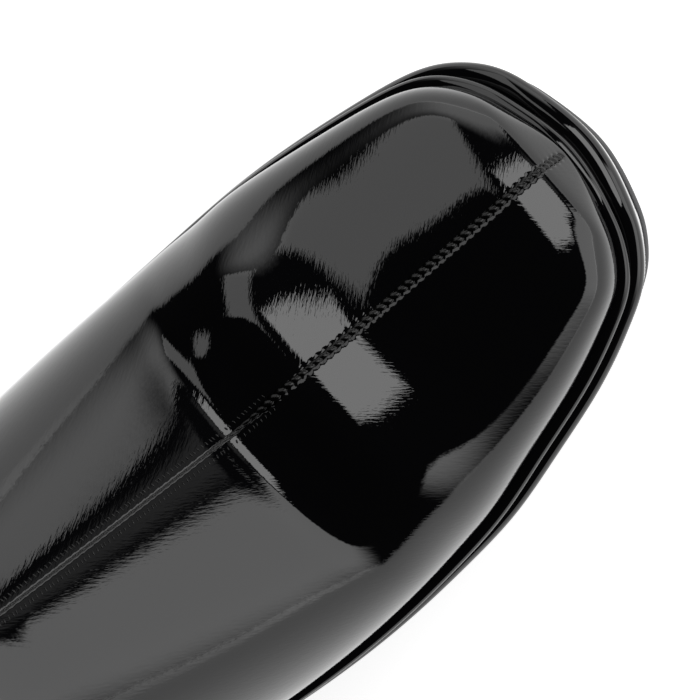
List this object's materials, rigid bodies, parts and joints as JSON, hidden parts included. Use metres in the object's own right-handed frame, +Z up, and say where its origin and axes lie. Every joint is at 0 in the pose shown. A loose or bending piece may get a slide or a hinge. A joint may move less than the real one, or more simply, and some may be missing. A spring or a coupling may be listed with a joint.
{
  "type": "platform ankle boot",
  "caption": "Right ankle boot with a round toe, a centre seam from the toe up the instep, a stepped forefoot platform and a block heel.",
  "frame": {"origin": "on the floor, under the middle of the boot's bounding box", "axes": "toe towards -Y, heel towards +Y, +Z up, the wearer's medial side towards +X"},
  "size_m": [0.0922, 0.2344, 0.2408],
  "materials": {
    "patent_upper": "black patent, mirror gloss",
    "sock_lining": "matt black sock",
    "patent_rand": "black patent cover, gloss",
    "patent_platform": "black patent cover, gloss",
    "sole_rubber": "matt black rubber with a fine tread",
    "heel_cover": "black patent cover over plastic, gloss",
    "heel_rubber": "matt black rubber"
  },
  "bodies": {
    "root": {"upper": "patent_upper", "insole": "sock_lining", "midsole": "patent_rand", "platform": "patent_platform", "outsole": "sole_rubber", "heel": "heel_cover", "heel_top_piece": "heel_rubber"}
  },
  "joints": []
}
